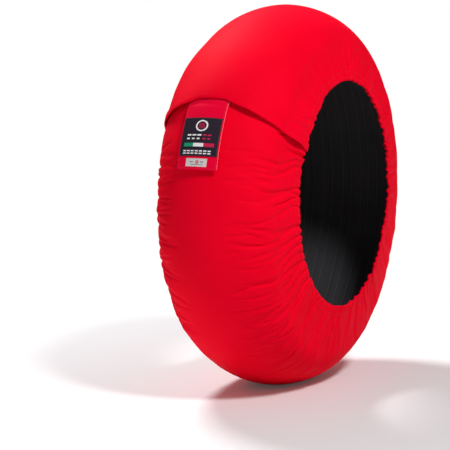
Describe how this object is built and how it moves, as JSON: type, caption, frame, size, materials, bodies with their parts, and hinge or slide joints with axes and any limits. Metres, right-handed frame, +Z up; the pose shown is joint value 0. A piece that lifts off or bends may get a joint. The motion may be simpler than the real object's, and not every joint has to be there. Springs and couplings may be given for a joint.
{
  "type": "motorcycle tire warmer",
  "caption": "Padded heated cloth cover that wraps a motorcycle's rear tire, with elastic hems, an overlapping flap and a pull tab.",
  "frame": {"origin": "on the floor under the ring's middle, at the flat spot where the cover stands on its tread", "axes": "+Y along the axle line towards the ring's left side, +Z up, the flap and pull tab face -X"},
  "size_m": [0.672, 0.2492, 0.6675],
  "materials": {
    "cover_cloth": "satin red nylon cloth",
    "tab_cloth": "two layers of the red cloth, edge-stitched",
    "lining_cloth": "matt heat-resistant cloth",
    "felt": "needled insulating felt",
    "elastic": "flat woven elastic",
    "loop_tape": "napped loop tape",
    "hook_tape": "stiff hook tape",
    "badge_weave": "woven badge with pale and red marks",
    "label_weave": "small woven label",
    "cable_sheath": "silicone heating cable",
    "live_sheath": "brown lead sheath",
    "neutral_sheath": "blue lead sheath",
    "gland_rubber": "moulded rubber",
    "nut_plastic": "moulded nut",
    "sensor_metal": "nickel-plated can",
    "crimp_metal": "tinned crimp sleeve"
  },
  "bodies": {
    "root": {"outer_cover": "cover_cloth", "insulation_felt": "felt", "heating_cable": "cable_sheath", "inner_lining": "lining_cloth", "left_hem_elastic": "elastic", "right_hem_elastic": "elastic", "overlap_loop_tape": "loop_tape", "overlap_hook_tape": "hook_tape", "tab_loop_patch": "loop_tape", "tab_hook_patch": "hook_tape", "pull_tab": "tab_cloth", "badge": "badge_weave", "size_label": "label_weave", "thermostat": "sensor_metal", "thermal_fuse": "sensor_metal", "live_crimp": "crimp_metal", "neutral_crimp": "crimp_metal", "live_lead": "live_sheath", "thermostat_link": "live_sheath", "fuse_link": "live_sheath", "neutral_lead": "neutral_sheath", "cable_gland": "gland_rubber", "gland_nut": "nut_plastic", "gland_patch": "cover_cloth"}
  },
  "joints": []
}
